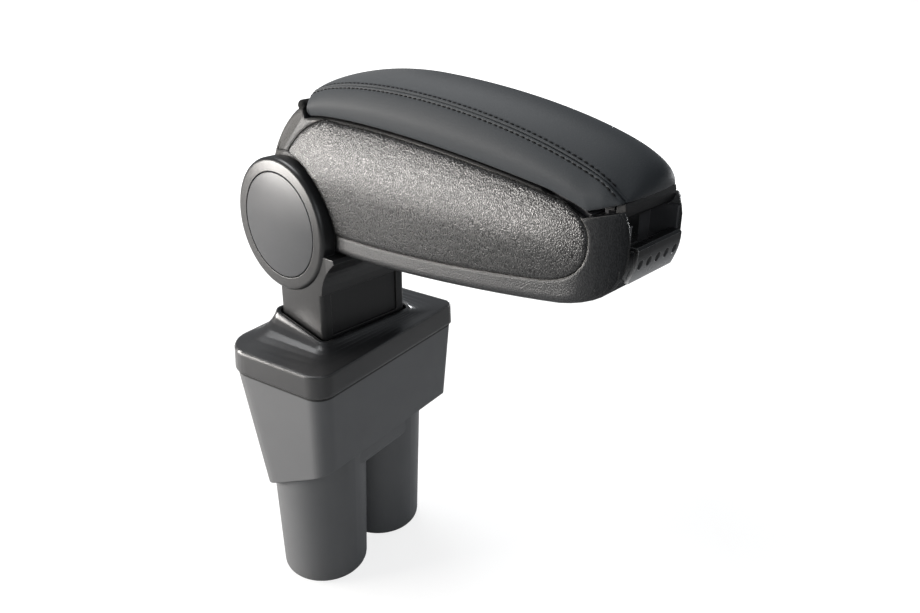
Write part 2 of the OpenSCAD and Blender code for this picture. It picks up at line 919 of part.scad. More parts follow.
module front_bezel() {
    front = nose_x - 1.5;
    cheek_side = [
        [bezel_rear, mouth_sill + 1.5], [sill_x - 0.2, mouth_lip + 1],
        [front - 4, mouth_lip + 2.5], [front, mouth_lip + 15.5], [front, bezel_top],
        [bezel_rear, bezel_top]
    ];
    wall_front = bezel_rear + bezel_wall;
    wall_foot = [[bezel_rear, mouth_sill + 1.5], [wall_front, mouth_sill + 2.5]];
    stop_half = pedestal_y + pedestal_half;
    color(black)
        difference() {
            union() {
                both_sides()
                    across(cheek_side, bezel_half - bezel_wall, bezel_half);
                across(concat(wall_foot, [[wall_front, bezel_top], [bezel_rear, bezel_top]]),
                    -bezel_half, bezel_half);
                across(concat(wall_foot, [[wall_front, stop_z], [bezel_rear, stop_z]]),
                    -stop_half, stop_half);
                for (side = [-1, 1])
                    translate([bezel_rear, side * pedestal_y - pedestal_half, stop_z - 5])
                        cube([5.4, 2 * pedestal_half, 5]);
            }
            translate([mouth_x0 - 1, -7, latch_axis.y + 4])
                cube([8, 14, crest_z]);
            rod(latch_axis, latch_pin_r + press, -arm_width, arm_width, 32);
        }
}

module lid_bumpers() {
    color(rubber)
        for (side = [-1, 1])
            translate([bezel_rear + 2.7, side * pedestal_y, stop_z])
                cylinder(r = 2.4, h = pan_bottom_front - seat_gap - stop_z, $fn = 32);
}

// The lid: a hard pan with the lip bar, the cushion over it and a liner under it

pan_lift = 0.5;
pan_front_x = nose_x - 6;
pan_half = arm_half - 3.6;
pan_line = concat(edge_top, [[pan_front_x, bend.y + 0.4]]);
pan_bottom_front = bend.y + 0.4 + pan_lift;

function lift(pts, d) = lower(pts, -d);

function band(pts, low, high) = concat(lift(pts, low), backward(lift(pts, high)));

// The pan's plan, which narrows at the front
module pan_plan(grow) {
    half = pan_half + grow;
    translate([0, 0, axis_z])
        linear_extrude(2 * rim_height)
            polygon([
                [axis_x, -half], [nose_x - 34, -half], [pan_front_x + 1 + grow, -half + 9],
                [pan_front_x + 1 + grow, half - 9], [nose_x - 34, half], [axis_x, half]
            ]);
}

bar_x = nose_x - 9.6;
web_half = arm_half - 13.5;
bar_low = lookup(nose_x - 5, edge_line) - seat_gap - lip_height;

module lid_pan() {
    color(black)
        difference() {
            union() {
                intersection() {
                    across(band(pan_line, pan_lift, pan_lift + pan_thick), -arm_half, arm_half);
                    pan_plan(0);
                }
                across(concat(
                    [[bar_x, lookup(bar_x, edge_line) - seat_gap], [bar_x, bar_low]],
                    bez([bar_x + 1.5, bar_low], [nose_x - 4.6, bar_low],
                        [nose_x - 3.8, bar_low + 6], [nose_x - 5, bar_low + lip_height], 5)
                ), -mouth_half + 0.6, mouth_half - 0.6);
                across([
                    [bar_x, bar_low + 1], [bar_x + 3.4, bar_low + 1],
                    [bar_x + 3.4, pan_bottom_front + pan_thick],
                    [bar_x, pan_bottom_front + pan_thick]
                ], -web_half, web_half);
                both_sides() {
                    barrel(ear_inner + 0.4, ear_outer - 0.4);
                    translate([lid_axis.x, ear_inner + 0.4, lid_axis.y - barrel_r])
                        cube([lid_rear_x + 3 - lid_axis.x, ear_outer - ear_inner - 0.8, 2.4]);
                }
            }
            rod(lid_axis, lid_pin_r + running, -arm_width, arm_width, 32);
            lid_screw_places()
                cylinder(r = screw_r - 0.2, h = 40, center = true, $fn = 24);
        }
}

// The cushion's lines along the arm, in X and Z
peak_x = axis_x + 102;
peak_z = crest_z + crown_height;
cushion_rear = lid_rear_x - 1;
crown_line = concat(
    bez([cushion_rear, peak_z - 15], [cushion_rear + 13, peak_z - 8],
        [peak_x - 37, peak_z], [peak_x, peak_z], 10),
    tail(bez([peak_x, peak_z], [peak_x + 53, peak_z - 0.5], [nose_x - 50, peak_z - 5.5],
        [nose_x - 14, peak_z - 17.5], 12)),
    tail(bez([nose_x - 14, peak_z - 17.5], [nose_x - 5, peak_z - 20.5],
        [nose_x + 3, peak_z - 24], [nose_x + 5, peak_z - 28.5], 6))
);
seam_z0 = peak_z - 8;
seam_line = concat(
    bez([cushion_rear - 1, seam_z0 - 14], [cushion_rear + 9, seam_z0 - 3],
        [peak_x - 37, seam_z0 + 0.3], [peak_x, seam_z0], 10),
    tail(bez([peak_x, seam_z0], [peak_x + 53, seam_z0 - 0.8], [nose_x - 50, seam_z0 - 10],
        [nose_x - 19.5, seam_z0 - 21.8], 12)),
    tail(bez([nose_x - 19.5, seam_z0 - 21.8], [nose_x - 14, seam_z0 - 24],
        [nose_x - 9, seam_z0 - 28], [nose_x - 6, seam_z0 - 31.4], 4))
);

// Half the cushion's width along the arm
plan_line = [
    [cushion_rear, arm_half - 3], [cushion_rear + 2, arm_half - 1.4],
    [cushion_rear + 6, arm_half - 0.5], [nose_x - 32, arm_half - 0.5],
    [nose_x - 23, arm_half - 1.2], [nose_x - 14, arm_half - 2.8], [nose_x - 7, arm_half - 5],
    [nose_x - 3, arm_half - 6.6], [nose_x + 1, arm_half - 8.4], [nose_x + 4, arm_half - 11.5],
    [nose_x + 5, arm_half - 14]
];

cushion_stations = concat(
    [cushion_rear, cushion_rear + 2, cushion_rear + 6],
    [for (x = [lid_rear_x + 14:18:nose_x - 40]) x],
    [nose_x - 32, nose_x - 27, nose_x - 23, nose_x - 18, nose_x - 12, nose_x - 7,
        nose_x - 3, nose_x + 1, nose_x + 4, nose_x + 5]
);

function cushion_ring(x) =
    let (
        w = lookup(x, plan_line),
        front = max(0, x - lid_front.x),
        rear = max(0, lid_rear_x + 1 - x),
        e = lookup(x, edge_line) + 0.45 * front + 2 * rear,
        c = lookup(x, crown_line),
        s = min(max(lookup(x, seam_line), e + 1.5), c - 1),
        k = min(seam_half, w - 2.2),
        side = [
            [w, e], [w + 0.8, e + 0.25 * (s - e)], [w + 0.5, e + 0.55 * (s - e)],
            [(w + k) / 2 + 0.8, e + 0.88 * (s - e)], [k, s], [0.76 * k, s + 0.42 * (c - s)],
            [0.42 * k, s + 0.84 * (c - s)]
        ]
    )
        concat(
            [for (p = side) [x, p.x, p.y]],
            [[x, 0, c]],
            [for (p = backward(side)) [x, -p.x, p.y]]
        );

module lid_cushion() {
    color(leather)
        difference() {
            skin([for (x = cushion_stations) cushion_ring(x)]);
            intersection() {
                across(concat(
                    [[axis_x, belly_z], [pan_front_x + 0.3, belly_z]],
                    backward(lift(pan_line, pan_lift + pan_thick + seat_gap)),
                    [[axis_x, crest_z + pan_thick]]
                ), -arm_width, arm_width);
                pan_plan(seat_gap);
            }
        }
}

module lid_liner() {
    line = [for (p = edge_top) if (p.x > bin_x0 + liner_wall + 2) p];
    half = bin_half - liner_wall - 1;
    color(black)
        difference() {
            across(band(concat(line, [[bin_x1 - liner_wall - 2, bend.y]]), -1.5, pan_lift),
                -half, half);
            lid_screw_places()
                cylinder(r = screw_r, h = 40, center = true, $fn = 24);
        }
}

module lid_screw_places() {
    for (x = [bin_x0 + 25, bin_x1 - 45])
        for (y = [-14, 14])
            translate([x, y, lookup(x, pan_line)])
                children();
}

module lid_screws() {
    color(steel)
        lid_screw_places() {
            translate([0, 0, -2.2])
                cylinder(r = screw_r - 0.25, h = pan_thick + 2.2, $fn = 24);
            translate([0, 0, -3.4])
                cylinder(r = 2.8, h = 1.4, $fn = 24);
        }
}

// The keeper behind the lip bar: two legs and the bar that the hook goes over
keeper_z = bar_low + 0.3;
keeper_x1 = bar_x - 0.1;
keeper_wall = 2.4;

module lid_striker() {
    height = lookup(keeper_x1 - keeper_wall, pan_line) + pan_lift - keeper_z;
    half = 8.9;
    color(plastic)
        translate([keeper_x1 - keeper_wall, 0, keeper_z]) {
            for (y = [-half, half - keeper_wall])
                translate([0, y, 0])
                    cube([keeper_wall, keeper_wall, height]);
            translate([0, -half, 0])
                cube([keeper_wall, 2 * half, keeper_wall]);
        }
}

module lid_hinge_pin() {
    color(steel)
        rod(lid_axis, lid_pin_r, -ear_end + 0.5, ear_end - 0.5, 32);
}

// The latch: a paddle with its hook, the pin that it turns on and its spring

ledge = [nose_x + 2.6, axis_z + 44.6];
foot = [nose_x - 1.6, ledge.y - paddle_height];
paddle_wall = 2.4;
hub_r = 3.2;
hub_half = 12;

paddle_face = bez(foot, foot + [2.6, 6], ledge + [0.2, -8], ledge + [0, -1.2], 6);

// The paddle's plate, with its ledge
module paddle_plate() {
    inner = [for (p = backward(paddle_face)) [p.x - paddle_wall, min(p.y, ledge.y - 2.2)]];
    across(concat(
        [foot - [1.4, 0.2]], paddle_face,
        [ledge + [-1.2, 0], [ledge.x - 6.2, ledge.y - 0.4], [ledge.x - 6.2, ledge.y - 2.4]],
        inner
    ), -paddle_half, paddle_half);
}

module grip_holes() {
    slant = atan2(ledge.x - foot.x, paddle_height);
    for (i = [0:hole_count - 1])
        translate([ledge.x - 2, (i - (hole_count - 1) / 2) * hole_pitch, ledge.y - 9.5])
            rotate([0, 90 - slant, 0])
                cylinder(r = hole_r, h = 10, $fn = 32, center = true);
}

hook_tip_x = keeper_x1 - keeper_wall - seat_gap;
hook_z = keeper_z + keeper_wall + seat_gap;

module latch_paddle() {
    flange = concat(
        [[latch_axis.x - 2, latch_axis.y - 2.5], [foot.x - 1.4, foot.y + 0.5]],
        [for (p = paddle_face) [p.x - 1, min(p.y, ledge.y - 1)]],
        [[latch_axis.x - 2, latch_axis.y + 3]]
    );
    stem = [
        [hook_tip_x - 3.2, latch_axis.y + 1.5], [latch_axis.x, latch_axis.y - 1],
        [latch_axis.x, latch_axis.y + 2.4], [hook_tip_x - 1, latch_axis.y + 5],
        [hook_tip_x - 1, hook_z], [hook_tip_x, hook_z], [hook_tip_x, hook_z + 0.8],
        [hook_tip_x - 1.2, hook_z + 2.6], [hook_tip_x - 3.2, hook_z + 2.6]
    ];
    color(black)
        difference() {
            union() {
                paddle_plate();
                both_sides()
                    across(flange, paddle_half - 2.2, paddle_half - 0.2);
                rod(latch_axis, hub_r, -hub_half, hub_half, 32);
                across(stem, -5.5, 5.5);
                for (y = [-hub_half, -4, 2.4, hub_half - 1.6])
                    across([
                        latch_axis + [0, -1.4], [foot.x - 1.6, latch_axis.y - 1.4],
                        [ledge.x - 3, latch_axis.y + 1.4], latch_axis + [0, 1.4]
                    ], y, y + 1.6);
            }
            grip_holes();
            rod(latch_axis, latch_pin_r + running, -arm_width, arm_width, 32);
        }
}

module latch_pin() {
    color(steel)
        rod(latch_axis, latch_pin_r, -bezel_half + 0.4, bezel_half - 0.4, 32);
}

// A coil of wire swept round the latch pin, in rings of six points
function coil_point(t, r, pitch) = [r * cos(t), r * sin(t), pitch * t / 360];

function coil_ring(t, r, pitch, wire) =
    let (out = [cos(t), sin(t), 0], centre = coil_point(t, r, pitch))
        [
            for (a = [0:60:300])
                centre + wire * (cos(a) * out + [0, 0, sin(a)])
        ];

module latch_spring() {
    wire = 0.45;
    turns = 4;
    color(steel)
        translate([latch_axis.x, -hub_half - 0.6, latch_axis.y])
            rotate([90, 0, 0])
                skin([
                    for (t = [0:24:360 * turns])
                        coil_ring(t, latch_pin_r + wire + 0.25, 2.3 * wire, wire)
                ]);
}

plug_shell();
base_cover();
post();
post_screws();
post_panel();
hub_cap_left();
hub_cap_right();
axle_bolt();
axle_nut();
axle_washers();
axle_sleeve();
friction_rings();
arm_shell();
side_panel_left();
side_panel_right();
bin_liner();
bin_mat();
liner_screws();
front_bezel();
lid_bumpers();
lid_pan();
lid_cushion();
lid_liner();
lid_screws();
lid_striker();
lid_hinge_pin();
latch_paddle();
latch_pin();
latch_spring();
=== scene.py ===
import math

import bpy
import numpy as np
from mathutils import Matrix, Vector


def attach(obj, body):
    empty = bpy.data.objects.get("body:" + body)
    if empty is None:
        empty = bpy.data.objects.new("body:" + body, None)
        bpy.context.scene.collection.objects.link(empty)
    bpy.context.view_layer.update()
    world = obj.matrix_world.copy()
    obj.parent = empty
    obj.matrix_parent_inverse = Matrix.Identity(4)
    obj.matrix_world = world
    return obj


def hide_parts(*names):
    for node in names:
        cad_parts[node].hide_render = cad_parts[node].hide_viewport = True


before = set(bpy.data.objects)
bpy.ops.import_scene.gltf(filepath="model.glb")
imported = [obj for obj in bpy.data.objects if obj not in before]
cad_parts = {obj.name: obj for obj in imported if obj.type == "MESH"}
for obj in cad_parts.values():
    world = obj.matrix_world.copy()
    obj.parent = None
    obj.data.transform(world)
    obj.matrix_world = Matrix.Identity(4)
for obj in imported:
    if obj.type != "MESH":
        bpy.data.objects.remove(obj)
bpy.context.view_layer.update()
scene = bpy.context.scene
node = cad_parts

# The room: a white sweep under the armrest, a large low window light behind its right
# side, three weaker lights at the front, overhead and on the far side, and the camera.
WHITE = (1.0, 1.0, 1.0, 1.0)
FLOOR_LEFT, FLOOR_RIGHT = (0.59, 0.59, 0.59, 1.0), (0.28, 0.28, 0.28, 1.0)
FLOOR_Z, FLOOR_REACH = -0.0004, 6
AZIMUTH, ELEVATION, ROLL = math.radians(42.19), math.radians(24.17), math.radians(0.60)
CAMERA_PLACE, CAMERA_LENS = Vector((0.4333, -0.3545, 0.4501)), 33.51


class Wire:
    """A shader socket that takes part in sums."""

    def __init__(self, finish, socket):
        self.finish = finish
        self.socket = socket

    def maths(self, operation, first, second, clamp=False):
        settings = {"operation": operation, "use_clamp": clamp}
        return self.finish.add("ShaderNodeMath", settings, {0: first, 1: second})

    def __add__(self, other):
        return self.maths("ADD", self, other)

    def __sub__(self, other):
        return self.maths("SUBTRACT", self, other)

    def __rsub__(self, other):
        return self.maths("SUBTRACT", other, self)

    def __mul__(self, other):
        return self.maths("MULTIPLY", self, other)

    def __truediv__(self, other):
        return self.maths("DIVIDE", self, other)

    def __pow__(self, other):
        return self.maths("POWER", self, other)

    __radd__ = __add__
    __rmul__ = __mul__

    def held(self):
        """Kept between 0 and 1."""
        return self.maths("ADD", self, 0.0, clamp=True)

    def at_least(self, low):
        return self.maths("MAXIMUM", self, low)

    def at_most(self, high):
        return self.maths("MINIMUM", self, high)

    def past(self, start, blur):
        """0 up to a place, and 1 from a blur's width beyond it."""
        return ((self - start) / blur).held()

    def short_of(self, end, blur):
        """1 until a blur's width before a place, and 0 beyond it."""
        return ((end - self) / blur).held()


class Finish:
    """The nodes of a material, or of the world, added one call at a time."""

    def __init__(self, name, shelf=None, shader="Principled BSDF", output="Material Output"):
        self.owner = (bpy.data.materials if shelf is None else shelf).new(name)
        self.owner.use_nodes = True
        self.tree = self.owner.node_tree
        self.shader = self.tree.nodes[shader]
        self.output = self.tree.nodes[output]

    def feed(self, socket, value):
        if isinstance(value, Wire):
            self.tree.links.new(value.socket, socket)
        else:
            socket.default_value = value

    def add(self, kind, settings=None, inputs=None, output=0):
        made = self.tree.nodes.new(kind)
        for key, value in (settings or {}).items():
            if key == "ramp":
                stops = made.color_ramp.elements
                while len(stops) < len(value):
                    stops.new(0.5)
                for stop, (place, colour) in zip(stops, value):
                    stop.position = place
                    stop.color = colour
            else:
                setattr(made, key, value)
        for key, value in (inputs or {}).items():
            self.feed(made.inputs[key], value)
        return Wire(self, made.outputs[output])

    def place(self):
        return self.add("ShaderNodeTexCoord", output="Object")

    def axis(self, number):
        return self.add("ShaderNodeSeparateXYZ", {}, {0: self.place()}, output=number)

    def stretched(self, scale, turn=(0.0, 0.0, 0.0)):
        inputs = {"Vector": self.place(), "Scale": scale, "Rotation": turn}
        return self.add("ShaderNodeMapping", {}, inputs)

    def noise(self, scale, detail=2.0, rough=0.5, vector=None):
        where = vector or self.place()
        inputs = {"Vector": where, "Scale": scale, "Detail": detail, "Roughness": rough}
        return self.add("ShaderNodeTexNoise", {}, inputs)

    def blended(self, share, first, second):
        settings = {"data_type": "RGBA"}
        return self.add("ShaderNodeMix", settings, {0: share, 6: first, 7: second}, output=2)

    def raised(self, height, depth, under=None):
        inputs = {"Height": height, "Distance": depth}
        if under is not None:
            inputs["Normal"] = under
        return self.add("ShaderNodeBump", {}, inputs)

    def eased(self, radius):
        """The surface's direction with its edges rounded to a radius."""
        return self.add("ShaderNodeBevel", {"samples": 6}, {"Radius": radius})

    def worn(self):
        """1 along edges, 0 on flat ground."""
        inputs = {0: self.eased(0.0006), 1: self.add("ShaderNodeNewGeometry", output="Normal")}
        settings = {"operation": "DOT_PRODUCT"}
        along = self.add("ShaderNodeVectorMath", settings, inputs, output="Value")
        return ((1 - along) * 12.0 - 0.3).held()

    def surface(self, **values):
        for key, value in values.items():
            socket = key.replace("_", " ").title().replace("Ior", "IOR")
            self.feed(self.shader.inputs[socket], value)

    def mixed_with(self, other, share):
        """A share of 0 shows the surface, and 1 the other shader."""
        inputs = {0: share, 1: Wire(self, self.shader.outputs[0]), 2: other}
        self.feed(self.output.inputs["Surface"], self.add("ShaderNodeMixShader", {}, inputs))


def dressed(names, finish):
    for name in names:
        slots = node[name].data.materials
        slots.clear()
        slots.append(finish.owner)


def built(name, verts, faces, finish, smooth=True):
    mesh = bpy.data.meshes.new(name)
    mesh.from_pydata([tuple(v) for v in verts], [], [tuple(f) for f in faces])
    mesh.validate()
    if smooth:
        mesh.shade_smooth()
    piece = bpy.data.objects.new(name, mesh)
    scene.collection.objects.link(piece)
    mesh.materials.append(finish.owner)
    return piece


def softbox(name, place, aim, size, watts, tint):
    light = bpy.data.lights.new(name, "AREA")
    light.shape = "RECTANGLE"
    light.size, light.size_y = size
    light.energy = watts
    light.color = tint
    lamp = bpy.data.objects.new(name, light)
    lamp.location = place
    lamp.rotation_euler = (Vector(aim) - Vector(place)).to_track_quat("-Z", "Y").to_euler()
    scene.collection.objects.link(lamp)


sweep = Finish("white_sweep")
rightward = (sweep.axis(0) + sweep.axis(1)).past(0.15, 0.6)
sweep.surface(base_color=sweep.blended(rightward, FLOOR_LEFT, FLOOR_RIGHT), roughness=0.9,
              specular_ior_level=0.2)
reach = sweep.add("ShaderNodeVectorMath", {"operation": "LENGTH"}, {0: sweep.place()}, output="Value")
whiter = sweep.add("ShaderNodeMapRange", {}, {0: reach, 1: 0.3, 2: 1.3, 3: 0.5, 4: 0.95})
glow = sweep.add("ShaderNodeEmission", {}, {"Color": WHITE, "Strength": 1.6})
sweep.mixed_with(glow, sweep.add("ShaderNodeLightPath", output="Is Camera Ray") * whiter)
corners = [(FLOOR_REACH * x, FLOOR_REACH * y, FLOOR_Z) for x, y in ((-1, -1), (1, -1), (1, 1), (-1, 1))]
floor = built("floor", corners, [(0, 1, 2, 3)], sweep, smooth=False)

sky = Finish("studio", bpy.data.worlds, "Background", "World Output")
sky.surface(color=(0.88, 0.94, 1.0, 1.0), strength=0.2)
backdrop = sky.add("ShaderNodeBackground", {}, {"Color": WHITE, "Strength": 1.0})
sky.mixed_with(backdrop, sky.add("ShaderNodeLightPath", output="Is Camera Ray"))
scene.world = sky.owner

softbox("window_light", (-1.15, -1.2, 0.46), (0.05, 0.0, 0.26), (1.1, 0.6), 62.0, (1.0, 0.965, 0.925))
softbox("fill_light", (1.5, -0.7, 0.9), (0.05, 0.0, 0.2), (0.9, 0.9), 5.0, (0.95, 0.98, 1.0))
softbox("top_light", (-0.5, 0.2, 1.5), (0.05, 0.0, 0.3), (0.8, 0.8), 16.0, (0.98, 0.99, 1.0))
softbox("far_light", (-0.2, 1.5, 0.09), (0.05, 0.0, 0.14), (1.4, 0.16), 14.0, (0.97, 0.98, 1.0))

back = Vector((math.sin(AZIMUTH) * math.cos(ELEVATION), -math.cos(AZIMUTH) * math.cos(ELEVATION),
               math.sin(ELEVATION)))
right = Vector((math.cos(AZIMUTH), math.sin(AZIMUTH), 0.0))
up = back.cross(right)
across = math.cos(ROLL) * right + math.sin(ROLL) * up
upward = math.cos(ROLL) * up - math.sin(ROLL) * right
camera = bpy.data.objects.new("camera", bpy.data.cameras.new("camera"))
turn = Matrix((across, upward, back)).transposed().to_4x4()
camera.matrix_world = Matrix.Translation(CAMERA_PLACE) @ turn
camera.data.lens = CAMERA_LENS
scene.collection.objects.link(camera)
scene.camera = camera
scene.view_settings.view_transform = "Standard"

# The plug: one hollow moulding of dark grey polypropylene, with a skirt and two legs
# for the cup wells. Its skin is matt with a very fine grain and a few rubbed edges, and
# its top under the cover's rim is painted near black as a painted shadow of the gap.
GAP_Z = 0.1703

moulding = Finish("matt_moulding")
cloud = moulding.noise(14.0, 3.0)
fine = moulding.noise(2600.0, 2.0)
tone = moulding.blended(cloud, (0.09, 0.092, 0.095, 1), (0.114, 0.116, 0.12, 1))
tone = moulding.blended(moulding.worn() * 0.5, tone, (0.16, 0.16, 0.165, 1))
# Painted shadow: the plug is painted near black above GAP_Z, in the gap under the cover's rim.
tone = moulding.blended(moulding.axis(2).past(GAP_Z, 0.0004), tone, (0.006, 0.006, 0.006, 1))
moulding.surface(base_color=tone, roughness=0.5 + 0.14 * moulding.noise(60.0), specular_ior_level=0.4,
                 normal=moulding.raised(fine, 0.00006, moulding.eased(0.001)))
dressed(["plug_shell"], moulding)

# The cover: a satin black cap that snaps into the skirt, with a collar drawn up round
# the post. It is smoother than the plug and takes long soft reflections.
satin = Finish("satin_cover")
haze = satin.noise(30.0, 4.0)
tone = satin.blended(haze, (0.024, 0.024, 0.025, 1), (0.033, 0.033, 0.034, 1))
tone = satin.blended(satin.worn() * 0.6, tone, (0.2, 0.2, 0.2, 1))
satin.surface(base_color=tone, roughness=0.24 + 0.12 * haze,
              normal=satin.raised(satin.noise(1800.0), 0.00003, satin.eased(0.0026)),
              coat_weight=0.15 + 0.1 * haze, coat_roughness=0.15)
dressed(["base_cover"], satin)

# The post: a moulded column and yoke in satin anthracite, faintly brushed from top to
# bottom, with an access panel let into its front.
HUB_X, HUB_Z, CHEEK_R, DOME = -0.015, 0.267, 0.045, 0.0045


def domed(finish, edge):
    """Eased edges, and a face that stands out at the hub and falls off sideways and upwards."""
    over = (finish.axis(0) - HUB_X) / CHEEK_R
    rise = ((finish.axis(2) - HUB_Z) / CHEEK_R).at_least(0.0)
    return finish.raised(1 - (over * over + rise * rise).at_most(1.0), DOME, finish.eased(edge))


brushed = Finish("satin_post")
strokes = brushed.noise(1.0, 3.0, 0.6, brushed.stretched((900.0, 900.0, 14.0)))
tone = brushed.blended(strokes, (0.009, 0.009, 0.0095, 1), (0.018, 0.018, 0.0185, 1))
tone = brushed.blended(brushed.worn() * 0.5, tone, (0.14, 0.137, 0.134, 1))
brushed.surface(base_color=tone, roughness=0.28 + 0.12 * strokes, specular_ior_level=0.5,
                normal=brushed.raised(strokes, 0.00004, domed(brushed, 0.0008)))
dressed(["post", "post_panel"], brushed)

# The hub caps: discs pressed flush into the two cheeks, in a gunmetal plastic with a
# satin skin and a bevelled rim.
gunmetal = Finish("gunmetal_cap")
swirl = gunmetal.noise(1.0, 3.0, 0.6, gunmetal.stretched((160.0, 160.0, 700.0)))
tone = gunmetal.blended(swirl, (0.023, 0.025, 0.028, 1), (0.034, 0.036, 0.04, 1))
gunmetal.surface(base_color=tone, roughness=0.28 + 0.08 * swirl, metallic=0.08 + 0.08 * swirl,
                 normal=gunmetal.raised(swirl, 0.00002, domed(gunmetal, 0.0006)))
dressed(["hub_cap_left", "hub_cap_right"], gunmetal)

# The bolt, nut, washers, sleeve, screws and spring: zinc-plated steel with fine turning
# marks. The bolt runs through both cheeks, and the screws sit in moulded bosses.
zinc = Finish("zinc_steel")
marks = zinc.noise(1.0, 2.0, 0.5, zinc.stretched((400.0, 2400.0, 400.0)))
tone = zinc.blended(marks, (0.42, 0.42, 0.43, 1), (0.62, 0.62, 0.63, 1))
zinc.surface(base_color=tone, metallic=1.0, roughness=0.26 + 0.14 * marks,
             normal=zinc.raised(marks, 0.00003))
dressed(["axle_bolt", "axle_nut", "axle_washers", "axle_sleeve", "post_screws", "liner_screws",
         "lid_screws", "latch_spring"], zinc)

# The lid's hinge pin and the latch's pin: steel rods, blackened in hot oil. The lid
# turns on the one and the paddle on the other.
blackened = Finish("blackened_steel")
film = blackened.noise(140.0, 3.0)
tone = blackened.blended(film, (0.02, 0.02, 0.022, 1), (0.04, 0.04, 0.044, 1))
blackened.surface(base_color=tone, metallic=0.8, roughness=0.34 + 0.16 * film,
                  normal=blackened.raised(film, 0.00003))
dressed(["lid_hinge_pin", "latch_pin"], blackened)

# The friction rings, the lid's bumpers and the bin's mat: moulded black rubber, pressed
# or laid in place. A tread of fine diagonal ribs keeps small things from sliding.
rubber = Finish("black_rubber")
bloom = rubber.noise(90.0, 3.0)
ribs = rubber.add("ShaderNodeTexWave", {"wave_type": "BANDS", "bands_direction": "DIAGONAL"},
                  {"Vector": rubber.place(), "Scale": 160.0}, output="Fac")
tone = rubber.blended(bloom, (0.016, 0.016, 0.016, 1), (0.03, 0.03, 0.03, 1))
rubber.surface(base_color=tone, roughness=0.72 + 0.12 * bloom,
               normal=rubber.raised(ribs, 0.0001, rubber.raised(bloom, 0.0001)))
dressed(["friction_rings", "lid_bumpers", "bin_mat"], rubber)

# The arm's shell: an ABS moulding with a fine leather-like grain, which makes the
# lower band, the front corners and the wedge behind the lid. Its rim follows the
# lid's lower edge. The lip under the lid, the brow beside the mouth and the hinge's
# barrels are painted flat near black and rougher, as painted shadow; a thin band just
# under the lip is painted light, as a painted highlight; the knuckle behind the lid is darker.
NOSE_X, CREST_Z = 0.240, 0.344
FACE_Z, FACE_HALF, FACE_END = 0.298, 0.034, 0.208
LIP_START, LIP_END, MOUTH_X, HINGE_X = 0.010, 0.206, 0.214, 0.008
LIP_DROP, RIM_DROP, BROW_Z, BARREL_Z = 0.0031, 0.0043, 0.3286, 0.3436
KNUCKLE_SLOPE, KNUCKLE_Z = 1.073, 0.3327
LIP_LOW, LIP_RANGE = 0.32, 0.03


def bend(a, b, c, d, count):
    """Points on a curve that leaves a toward b and comes to d from c."""
    t = np.linspace(0, 1, count)[:, None]
    a, b, c, d = (np.array(p, float) for p in (a, b, c, d))
    return (1 - t) ** 3 * a + 3 * (1 - t) ** 2 * t * b + 3 * (1 - t) * t ** 2 * c + t ** 3 * d


def follow(line, x):
    """The second number of a line at a value of its first."""
    return np.interp(x, line[:, 0], line[:, 1])


kink = (NOSE_X - 0.050, CREST_Z - 0.0102)
dip = (NOSE_X - 0.023, CREST_Z - 0.0174)
edge_line = np.vstack([
    bend((0.008, CREST_Z - 0.0032), (0.030, CREST_Z + 0.0033), (kink[0] - 0.080, CREST_Z + 0.0003),
         kink, 40),
    bend(kink, (kink[0] + 0.010, kink[1] - 0.0014), (dip[0] - 0.007, dip[1] + 0.0032), dip, 12)[1:],
    [(NOSE_X - 0.0034, CREST_Z - 0.0106)],
])


def grained(name, dark, light, cells, depth, rough, crown, fall, pore_shade_share, shine):
    """An etched leather grain: short wrinkles between raised pebbles, on a crowned face."""
    skin = Finish(name)
    level = (skin.axis(2) - FACE_Z) / FACE_HALF
    sink, climb = level.at_most(0.0), level.at_least(0.0)
    ahead = (skin.axis(0) - FACE_END).at_least(0.0)
    form = sink * sink * 0.0016 - climb * climb * crown - ahead * ahead * fall
    curved = skin.raised(form, 1.0, skin.eased(0.0025))
    inputs = {"Vector": skin.place(), "Scale": cells * 0.35}
    drift = skin.add("ShaderNodeTexNoise", {}, inputs, output="Color")
    inputs = {0: drift, 1: (1.3 / cells,) * 3, 2: skin.stretched((1.0, 1.0, 0.72), (0, 0.5, 0))}
    bent = skin.add("ShaderNodeVectorMath", {"operation": "MULTIPLY_ADD"}, inputs)
    inputs = {"Vector": bent, "Scale": cells, "Smoothness": 0.6}
    pebbles = skin.add("ShaderNodeTexVoronoi", {"feature": "SMOOTH_F1"}, inputs)
    valleys = 1 - (pebbles * 1.35).held()
    height = valleys * 0.8 + skin.noise(cells * 3.4, 2.0) * 0.2
    # The grain's pits are its own; metallic over their dark base takes their reflection away, as painted
    # shade in the pores.
    pore_shade = (0.85 - height * 2.2).held()
    tone = skin.blended((height * 1.2 - 0.2).held(), dark, light)
    tone = skin.blended(skin.worn() * 0.6, tone, (0.28, 0.27, 0.255, 1))
    dulled = rough + 0.12 * (1 - valleys)
    skin.surface(base_color=tone, roughness=dulled, metallic=pore_shade * pore_shade_share, specular_ior_level=shine,
                 normal=skin.raised(height, depth, curved))
    return skin, tone, dulled


fine_grain, tone, dulled = grained(
    "fine_grain", dark=(0.011, 0.0115, 0.0125, 1), light=(0.024, 0.025, 0.027, 1), cells=1500.0,
    depth=0.00018, rough=0.32, crown=0.001, fall=15.0, pore_shade_share=0.35, shine=0.5)
x, z = fine_grain.axis(0), fine_grain.axis(2)
lip_ramp = [(place / NOSE_X, ((follow(edge_line, place) - LIP_LOW) / LIP_RANGE,) * 3 + (1,))
            for place in np.linspace(0.01, 0.22, 14)]
lip_share = fine_grain.add("ShaderNodeValToRGB", {"ramp": lip_ramp}, {"Fac": x / NOSE_X})
lip_z = lip_share * LIP_RANGE + LIP_LOW
